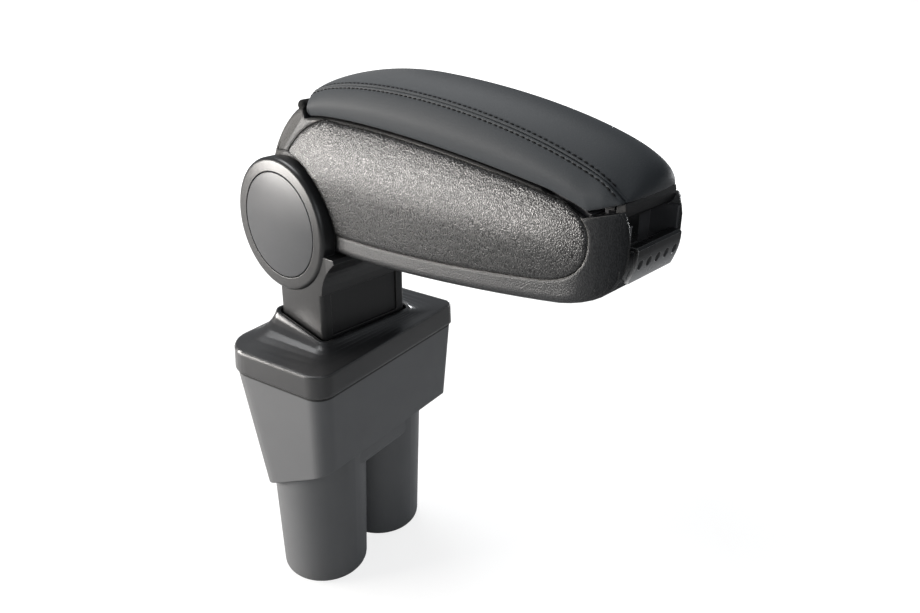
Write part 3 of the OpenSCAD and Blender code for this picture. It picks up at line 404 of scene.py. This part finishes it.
# Painted shadow: the lip under the lid's edge, the brow by the mouth and the hinge's barrels go near black.
lip = (z - lip_z).past(-LIP_DROP, 0.0004) * x.past(LIP_START, 0.002) * x.short_of(LIP_END, 0.003)
# Painted highlight: a thin band just under the lip is painted light.
painted_rim_highlight = (z - lip_z).past(-RIM_DROP, 0.0003) * x.past(LIP_START + 0.004, 0.004) * x.short_of(LIP_END, 0.003)
brow = z.past(BROW_Z, 0.0005) * x.past(MOUTH_X, 0.002)
barrel = z.past(BARREL_Z, 0.0008) * x.short_of(HINGE_X, 0.001)
knuckle = (z - x * KNUCKLE_SLOPE).past(KNUCKLE_Z, 0.0008) * x.short_of(HINGE_X, 0.001)
# hidden: the three painted shadows together, painted near black and made rougher below.
hidden = (lip + brow + barrel).held()
tone = fine_grain.blended(knuckle, tone, (0.010, 0.0093, 0.0088, 1))
# Painted highlight along the rim band under the lip.
tone = fine_grain.blended(painted_rim_highlight, tone, (0.2, 0.192, 0.184, 1))
tone = fine_grain.blended(hidden, tone, (0.003, 0.003, 0.003, 1))
fine_grain.surface(base_color=tone, roughness=dulled + hidden * 0.4 + knuckle * 0.22)
dressed(["arm_shell"], fine_grain)

# The side panels: crowned inserts with a coarse pebble grain, clipped into the
# recesses of the shell.
coarse_grain = grained(
    "coarse_grain", dark=(0.004, 0.004, 0.0045, 1), light=(0.036, 0.0357, 0.0353, 1), cells=1550.0,
    depth=0.00024, rough=0.19, crown=0.0046, fall=0.0, pore_shade_share=0.85, shine=0.62)[0]
dressed(["side_panel_left", "side_panel_right"], coarse_grain)

# The black mouldings: the lid's pan with its lip bar, the lid's liner and the keeper,
# and in the arm the bin's liner and the mouth's insert. All are semi-gloss with a
# faint haze, and lighter along their edges. They are lit and shaded copies of one black:
# the lid's parts are painted near black as painted shade in the gap under the cushion,
# and the mouth's parts lighter as painted light in the mouth's recess.


def semi_gloss(name, dark, light, edge, rough, shine):
    skin = Finish(name)
    haze = skin.noise(45.0, 3.0)
    tone = skin.blended(haze, dark, light)
    tone = skin.blended(skin.worn() * 0.4, tone, edge)
    skin.surface(base_color=tone, roughness=rough + 0.16 * haze, specular_ior_level=shine,
                 normal=skin.raised(skin.noise(2200.0), 0.00003, skin.eased(0.0006)))
    return skin


# Painted shade: the lid's parts get a near-black copy of the black, for the gap under the cushion.
dressed(["lid_pan", "lid_liner", "lid_striker"], semi_gloss(
    "semi_gloss_black", dark=(0.004, 0.004, 0.0045, 1), light=(0.007, 0.007, 0.0075, 1),
    edge=(0.05, 0.05, 0.05, 1), rough=0.36, shine=0.25))
# Painted light: the mouth's parts get a lighter copy of the black, for the mouth's recess.
dressed(["bin_liner", "front_bezel"], semi_gloss(
    "mouth_black", dark=(0.045, 0.045, 0.048, 1), light=(0.06, 0.06, 0.064, 1),
    edge=(0.08, 0.08, 0.083, 1), rough=0.3, shine=0.5))

# The latch paddle: the same black plastic with a satin face, with a painted sheen that
# turns it lighter and more metallic towards its lower edge.
PADDLE_TOP, PADDLE_TALL = 0.3095, 0.0165

handled = Finish("paddle_black")
touch = handled.noise(70.0, 3.0)
# Painted reflection: the paddle is painted lighter and more metallic towards its lower edge.
painted_sheen = handled.axis(2).short_of(PADDLE_TOP, PADDLE_TALL)
tone = handled.blended(touch, (0.008, 0.008, 0.0085, 1), (0.014, 0.014, 0.0145, 1))
tone = handled.blended(painted_sheen ** 1.8, tone, (0.55, 0.55, 0.555, 1))
tone = handled.blended(handled.worn() * 0.7, tone, (0.3, 0.3, 0.302, 1))
handled.surface(base_color=tone, roughness=0.2 + 0.16 * touch, metallic=0.6 * painted_sheen, specular_ior_level=0.35,
                normal=handled.raised(handled.noise(1500.0), 0.00004, handled.eased(0.0008)))
dressed(["latch_paddle"], handled)

# The cushion: foam on the lid's pan under tight dark grey leatherette, in a top panel
# and two side gussets. A seam joins them along each side, with a row of stitching
# on either side of it.
PEAK_X, PEAK_Z, REAR_X = HUB_X + 0.102, CREST_Z + 0.029, 0.007
SEAM_HALF, ROW_AWAY = 0.024, 0.0020
BACK_RINGS, LONG_RINGS, FRONT_RINGS = 12, 170, 26
GUSSET_POINTS, TOP_POINTS, GUSSET_REST, TOP_REST = 41, 81, 9, 16
LEAN_FROM, STEPS_SHARE, SMOOTHINGS = 0.35, 0.62, 60
FULL_SWELL_AT, FULL_GROOVE_AT, LEAST_GROOVE = 0.012, 0.008, 0.35
SEAM_DEEP, ROW_DEEP, PUFF_HIGH = 0.0010, 0.00035, 0.0002
SEAM_STEPS = np.array([0, 0.15, 0.3, 0.5, 0.8, 1.1, 1.4, 1.7, 2.0, 2.3, 2.6, 3.0, 3.6, 4.5, 6.0]) / 1000
SEAM_ROW = len(SEAM_STEPS) + GUSSET_REST - 1

seam_top = PEAK_Z - 0.008
seam_line = np.vstack([
    bend((REAR_X - 0.001, seam_top - 0.014), (REAR_X + 0.009, seam_top - 0.003),
         (PEAK_X - 0.037, seam_top + 0.0003), (PEAK_X, seam_top), 30),
    bend((PEAK_X, seam_top), (PEAK_X + 0.053, seam_top - 0.0008), (NOSE_X - 0.050, seam_top - 0.010),
         (NOSE_X - 0.0195, seam_top - 0.0218), 30)[1:],
    bend((NOSE_X - 0.0195, seam_top - 0.0218), (NOSE_X - 0.014, seam_top - 0.024),
         (NOSE_X - 0.009, seam_top - 0.028), (NOSE_X - 0.006, seam_top - 0.0314), 12)[1:],
])
crown_line = np.vstack([
    bend((REAR_X, PEAK_Z - 0.015), (REAR_X + 0.013, PEAK_Z - 0.008), (PEAK_X - 0.037, PEAK_Z),
         (PEAK_X, PEAK_Z), 30),
    bend((PEAK_X, PEAK_Z), (PEAK_X + 0.053, PEAK_Z - 0.0008), (NOSE_X - 0.050, PEAK_Z - 0.0068),
         (NOSE_X - 0.014, PEAK_Z - 0.0186), 30)[1:],
    bend((NOSE_X - 0.014, PEAK_Z - 0.0186), (NOSE_X - 0.008, PEAK_Z - 0.0208),
         (NOSE_X - 0.003, PEAK_Z - 0.0240), (NOSE_X, PEAK_Z - 0.0280), 12)[1:],
])
half_line = np.array([
    (REAR_X, 0.0268), (REAR_X + 0.002, 0.0279), (REAR_X + 0.006, 0.0287), (0.040, 0.0290),
    (0.190, 0.0290), (NOSE_X - 0.032, 0.0288), (NOSE_X - 0.023, 0.0282), (NOSE_X - 0.014, 0.0266),
    (NOSE_X - 0.007, 0.0246), (NOSE_X - 0.003, 0.0233),
])
gusset_line = np.array([
    (0, 0), (0.12, 0.0007), (0.3, 0.0011), (0.5, 0.0010), (0.7, 0.0008), (0.85, 0.0006), (1, 0),
])
back_hub, front_hub = (0.0125, 0.3417), (NOSE_X - 0.0062, CREST_Z - 0.0113)
back_fan = np.array([
    (90, 0.0186), (101, 0.0160), (116, 0.0124), (138, 0.0072), (160, 0.0045), (180, 0.0037),
])
back_seam = np.array([
    (90, 0.0135), (101, 0.0122), (116, 0.0096), (138, 0.0062), (160, 0.0041), (180, 0.0035),
])
front_fan = np.array([
    (8, 0.0024), (15, 0.0046), (22, 0.0068), (30, 0.0086), (38, 0.0100), (50, 0.0121),
    (62, 0.0142), (75, 0.0163), (90, 0.0184),
])


def stations():
    """Each is a hub in X and Z, a direction, the distances to seam and crown, the half
    widths at the edge and the seam, and how square the top is."""
    rows = []
    for angle in np.linspace(180, 94, BACK_RINGS):
        share = (180 - angle) / 90
        rows.append((back_hub, angle, follow(back_seam, angle), follow(back_fan, angle),
                     0.0268 + 0.0020 * share ** 0.5, 0.0236 + 0.0004 * share, 5 - 2.7 * share))
    for x in np.linspace(back_hub[0], front_hub[0], LONG_RINGS):
        low = follow(edge_line, x)
        half = follow(half_line, x)
        seam = max(follow(seam_line, x), low + 0.0010)
        ahead = max(0.0, (x - 0.1) / (front_hub[0] - 0.1))
        rows.append(((x, low), 90, seam - low, follow(crown_line, x) - low, half,
                     min(SEAM_HALF, half - 0.0016), 2.3 - 0.3 * ahead))
    for angle in np.linspace(86, 8, FRONT_RINGS):
        share = (90 - angle) / 82
        rows.append((front_hub, angle, 0.0008, follow(front_fan, angle), 0.0240 - 0.0006 * share,
                     0.0226, 2.0 + 0.5 * share))
    return rows


def section(row):
    """Half a ring from the lower edge over the seam to the middle, with distances to the seam."""
    (x, z), angle, seam, crown, half, inner, power = row
    toward = np.array([math.cos(math.radians(angle)), math.sin(math.radians(angle))])
    f = np.linspace(0, 1, GUSSET_POINTS)
    lean = np.clip((f - LEAN_FROM) / (1 - LEAN_FROM), 0, 1) ** 1.6
    swell = follow(gusset_line, f) * min(1, seam / FULL_SWELL_AT)
    side = np.c_[half + (inner - half) * lean + swell, seam * f]
    t = np.linspace(1, 0, TOP_POINTS)
    over = np.c_[inner * t, seam + (crown - seam) * (1 - t ** power)]
    found = []
    for line, toward_seam, rest in ((side, True, GUSSET_REST), (over, False, TOP_REST)):
        run = np.r_[0, np.cumsum(np.linalg.norm(np.diff(line, axis=0), axis=1))]
        long = run[-1]
        steps = SEAM_STEPS * min(1.0, STEPS_SHARE * long / SEAM_STEPS[-1])
        away = np.r_[steps, np.linspace(steps[-1], long, rest + 1)[1:]]
        where = long - away if toward_seam else away
        points = np.c_[np.interp(where, run, line[:, 0]), np.interp(where, run, line[:, 1])]
        found.append((points, away, min(1.0, long / FULL_GROOVE_AT)))
    (gusset, gusset_away, full), (top, top_away, _) = found
    points = np.vstack([gusset[::-1], top[1:]])
    away = np.r_[-gusset_away[::-1], top_away[1:]]
    place = np.c_[x + toward[0] * points[:, 1], points[:, 0], z + toward[1] * points[:, 1]]
    return place, away, full


def groove(away, full):
    """Depth of the seam and of the two stitched rows at a distance from the seam."""
    seam = SEAM_DEEP * np.exp(-(away / 0.00036) ** 2)
    rows = ROW_DEEP * np.exp(-((abs(away) - ROW_AWAY) / 0.0004) ** 2)
    puff = -PUFF_HIGH * np.exp(-((abs(away) - 0.5 * ROW_AWAY) / 0.0005) ** 2)
    return (seam + rows + puff) * (LEAST_GROOVE + (1 - LEAST_GROOVE) * full)


rings, aways, fulls = [], [], []
for row in stations():
    place, away, full = section(row)
    rings.append(np.vstack([place, place[-2::-1] * (1, -1, 1)]))
    aways.append(np.r_[away, away[-2::-1]])
    fulls.append(full)
skin, away = np.array(rings), np.array(aways)
count, width = skin.shape[:2]

# The top panel is smoothed from ring to ring over its front, less beside the seam. It
# sets in before the ring where the front turns down and ends before the last ones.
turn_ring = count - FRONT_RINGS
soft = np.interp(np.arange(count), (turn_ring - 34, turn_ring - 12, count - 10, count - 2), (0, 1, 1, 0))
soft = soft[1:-1, None, None] * np.interp(abs(away[1:-1]), (0, 0.002), (0.3, 1.0))[:, :, None]
row_in = np.arange(width)
upper = np.minimum(row_in, row_in[::-1])[None, :, None] > SEAM_ROW
for _ in range(SMOOTHINGS):
    middle = 0.5 * skin[1:-1] + 0.25 * (skin[:-2] + skin[2:])
    skin[1:-1] += soft * upper * (middle - skin[1:-1])
normal = np.cross(np.gradient(skin, axis=1), np.gradient(skin, axis=0))
length = np.linalg.norm(normal, axis=2, keepdims=True)
normal = np.where(length > 1e-12, normal / np.maximum(length, 1e-12), 0)
if normal[count // 2, width // 2, 2] < 0:
    normal = -normal
sunk = skin - normal * groove(away, np.array(fulls)[:, None])[:, :, None]

verts = [tuple(p) for ring in sunk for p in ring]
faces = [(i * width + j, i * width + j + 1, (i + 1) * width + j + 1, (i + 1) * width + j)
         for i in range(count - 1) for j in range(width - 1)]

PAN_TAPER, PAN_HALVES, PAN_CLEAR = (0.206, 0.2353), (0.0262, 0.0172), 0.0003
LIP_BAR_X, UNDER_END = 0.233, 0.2345
LIFT, BAR_LIFT = 0.0045, 0.0006


def tucked(i):
    """The hidden part of a ring: the hem, the wall round the pan and the underside."""
    x = min(max(skin[i, 0, 0], REAR_X), UNDER_END)
    half = skin[i, 0, 1]
    edge = follow(edge_line, x)
    wall = min(float(np.interp(x, PAN_TAPER, PAN_HALVES)) + PAN_CLEAR, half - 0.0012)
    lift = edge + (LIFT if x < LIP_BAR_X else BAR_LIFT)
    hem = [(half - 0.0004, -0.0004), (half - 0.0010, -0.0005), (wall, -0.0002)]
    return [(x, y, edge + drop) for y, drop in hem] + [(x, wall, lift), (x, 0.6 * wall, lift)]


base = len(verts)
under = []
for i in range(count):
    half = tucked(i)
    under.append(half + [(half[-1][0], 0.0, half[-1][2])] + [(x, -y, z) for x, y, z in half[::-1]])
row_width = len(under[0])
verts += [p for ring in under for p in ring]
for i in range(count - 1):
    a, b = base + i * row_width, base + (i + 1) * row_width
    for j in range(row_width - 1):
        faces.append((a + j + 1, a + j, b + j, b + j + 1))
    faces.append((a, i * width, (i + 1) * width, b))
    faces.append((i * width + width - 1, a + row_width - 1, b + row_width - 1, (i + 1) * width + width - 1))
first = [base + j for j in range(row_width)]
last = [base + (count - 1) * row_width + j for j in range(row_width)]
faces.append(list(range(width)) + first[::-1])
faces.append([(count - 1) * width + j for j in range(width - 1, -1, -1)] + last)

leather = Finish("grey_leatherette")
creases = leather.add("ShaderNodeTexVoronoi", {"feature": "DISTANCE_TO_EDGE"},
                      {"Vector": leather.place(), "Scale": 900.0})
mottle = leather.noise(22.0, 3.0)
pores = leather.noise(2600.0, 2.0)
tone = leather.blended(mottle, (0.027, 0.0305, 0.034, 1), (0.035, 0.0385, 0.0425, 1))
height = (creases * 3.0).held() * 0.6 + pores * 0.4
leather.surface(base_color=tone, roughness=0.52 + 0.1 * (1 - height), specular_ior_level=0.16,
                sheen_weight=0.06, sheen_roughness=0.5, normal=leather.raised(height, 0.00005))
cushion = built("cushion", verts, faces, leather)
merge = cushion.modifiers.new("joined", "WELD")
merge.merge_threshold = 0.00002
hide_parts("lid_cushion")
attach(cushion, "lid")

# The stitching: lockstitches of waxed black thread, sewn 2 mm from the seam and
# 3.6 mm apart, each sunk at both ends.
STITCH_LONG, STITCH_APART, START_GAP, END_GAP = 0.0027, 0.0036, 0.002, 0.0028
THREAD_R, SIDES, ALONG = 0.00033, 6, (0.0, 0.18, 0.5, 0.82, 1.0)
FIRST_RING, LAST_RING = 3, count - FRONT_RINGS - 1

thread = Finish("black_thread")
ply = thread.noise(1.0, 2.0, 0.5, thread.stretched((2600.0, 900.0, 2600.0)))
tone = thread.blended(ply, (0.002, 0.002, 0.0022, 1), (0.006, 0.006, 0.0065, 1))
thread.surface(base_color=tone, roughness=0.7 + 0.2 * ply, specular_ior_level=0.15,
               normal=thread.raised(ply, 0.00008))


def stitch(start, end, out):
    """A six-sided thread that rises over its middle and sinks at both ends."""
    start, end, out = Vector(start), Vector(end), Vector(out)
    run = (end - start).normalized()
    side = run.cross(out).normalized()
    ring_verts = []
    for t in ALONG:
        middle = start.lerp(end, t) + out * THREAD_R * (1.1 - 5.2 * (t - 0.5) ** 2)
        size = THREAD_R * (0.55 if t in (0.0, 1.0) else 1.0)
        for k in range(SIDES):
            turn = math.radians(360 / SIDES * k)
            ring_verts.append(middle + size * (math.cos(turn) * side + math.sin(turn) * out))
    ring_faces = []
    for a in range(0, len(ring_verts) - SIDES, SIDES):
        for k in range(SIDES):
            beside = (k + 1) % SIDES
            ring_faces.append((a + k, a + beside, a + SIDES + beside, a + SIDES + k))
    ends = [range(SIDES - 1, -1, -1), range(len(ring_verts) - SIDES, len(ring_verts))]
    return ring_verts, ring_faces + [tuple(end) for end in ends]


verts, faces = [], []
half_width = (width + 1) // 2
for sign in (1, -1):
    for offset in (-ROW_AWAY, ROW_AWAY):
        path, path_out = [], []
        for i in range(FIRST_RING, LAST_RING):
            k = int(np.argmin(abs(away[i, :half_width] - offset * min(1.0, fulls[i] * 1.2))))
            path.append(sunk[i, k] * (1, sign, 1))
            path_out.append(normal[i, k] * (1, sign, 1))
        path, path_out = np.array(path), np.array(path_out)
        run = np.r_[0, np.cumsum(np.linalg.norm(np.diff(path, axis=0), axis=1))]
        for s in np.arange(START_GAP, run[-1] - END_GAP, STITCH_APART):
            start = [np.interp(s, run, path[:, c]) for c in range(3)]
            end = [np.interp(s + STITCH_LONG, run, path[:, c]) for c in range(3)]
            out = [np.interp(s, run, path_out[:, c]) for c in range(3)]
            more_verts, more_faces = stitch(start, end, out)
            faces += [tuple(len(verts) + v for v in f) for f in more_faces]
            verts += more_verts
stitching = built("stitching", verts, faces, thread)
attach(stitching, "lid")
